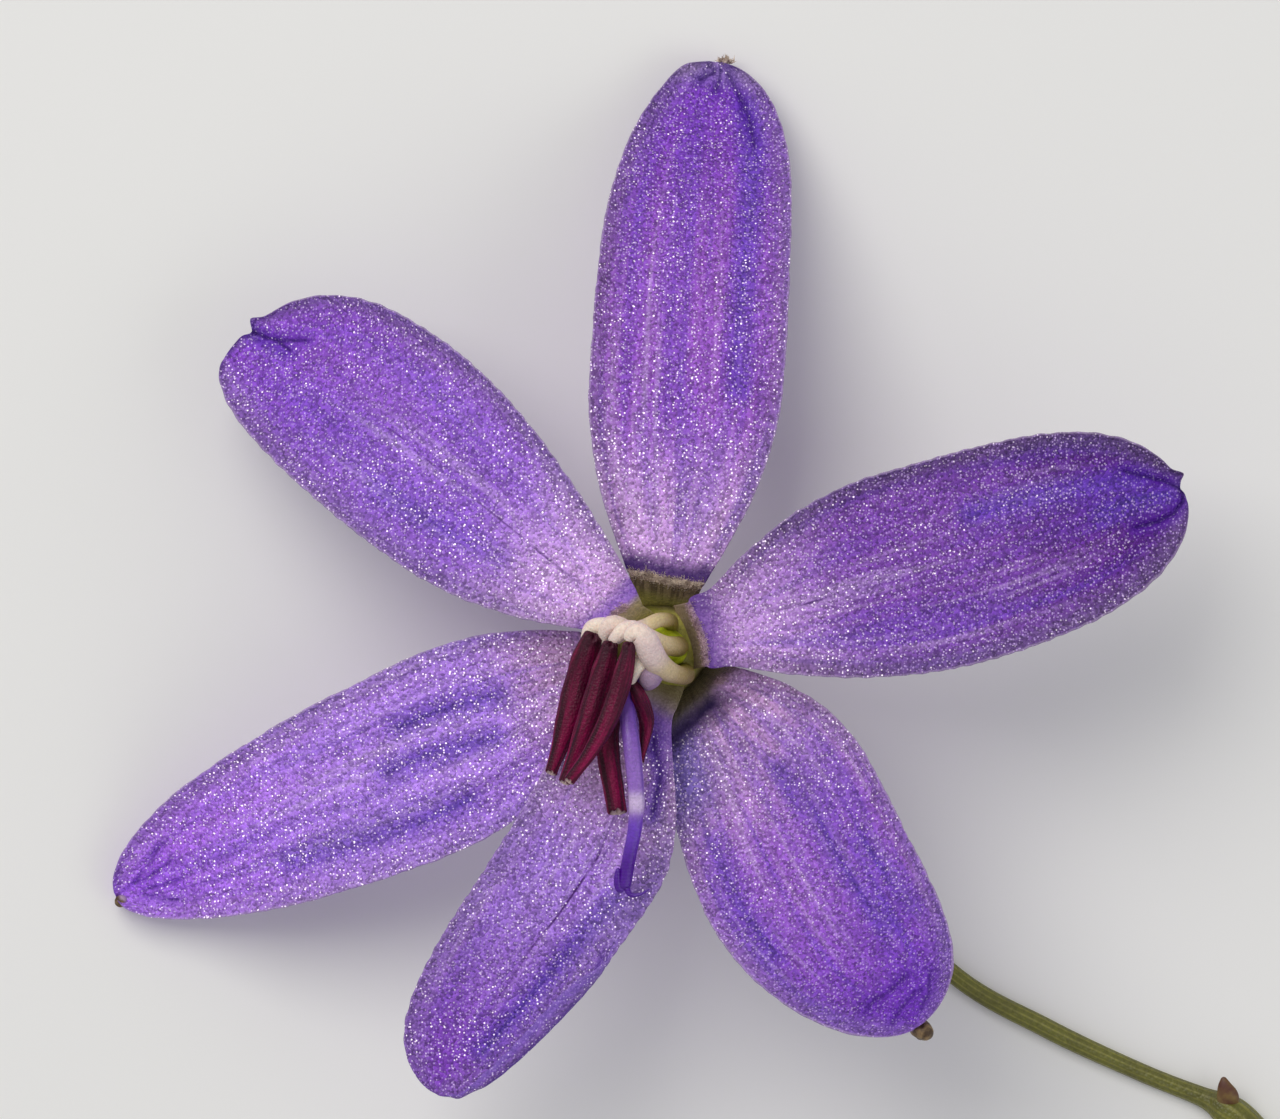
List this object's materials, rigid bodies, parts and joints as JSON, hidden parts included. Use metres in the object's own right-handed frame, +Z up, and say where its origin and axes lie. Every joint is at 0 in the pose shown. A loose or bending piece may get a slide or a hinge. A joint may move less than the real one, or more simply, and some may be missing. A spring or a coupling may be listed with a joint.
{
  "type": "grass lily flower",
  "caption": "Open violet grass lily flower, cut and laid face up on its slender bent stalk, with arched cream filaments, maroon anthers and a leaning style.",
  "frame": {"origin": "on the surface, under the middle of the whole object's box; the flower's own centre is at x -1.63 mm, y -0.69 mm", "axes": "+Z up, out of the open flower's face; +Y towards the tip of the top tepal; the stalk leaves towards +X and -Y"},
  "size_m": [0.0392, 0.0376, 0.0123],
  "materials": {
    "outer_tepal": "violet petal tissue, ribbed lengthwise, with a fine glistening grain",
    "inner_tepal": "violet petal tissue, smooth, with one dark vein and a fine glistening grain",
    "filament": "waxy cream, slightly glossy",
    "anther": "dark maroon, satin, fine grain",
    "pistil": "violet style on a yellow-green ovary, satin",
    "stalk": "olive green, satin"
  },
  "bodies": {
    "root": {"outer_tepal_top": "outer_tepal", "outer_tepal_lower_left": "outer_tepal", "outer_tepal_lower_right": "outer_tepal", "inner_tepal_upper_left": "inner_tepal", "inner_tepal_bottom": "inner_tepal", "inner_tepal_right": "inner_tepal", "filament_left_end": "filament", "filament_second": "filament", "filament_third": "filament", "filament_front": "filament", "filament_bottom_left": "filament", "filament_bottom": "filament", "anther_left_end": "anther", "anther_second": "anther", "anther_third": "anther", "anther_front": "anther", "anther_bottom_left": "anther", "anther_bottom": "anther", "pistil": "pistil", "stalk": "stalk"}
  },
  "joints": []
}
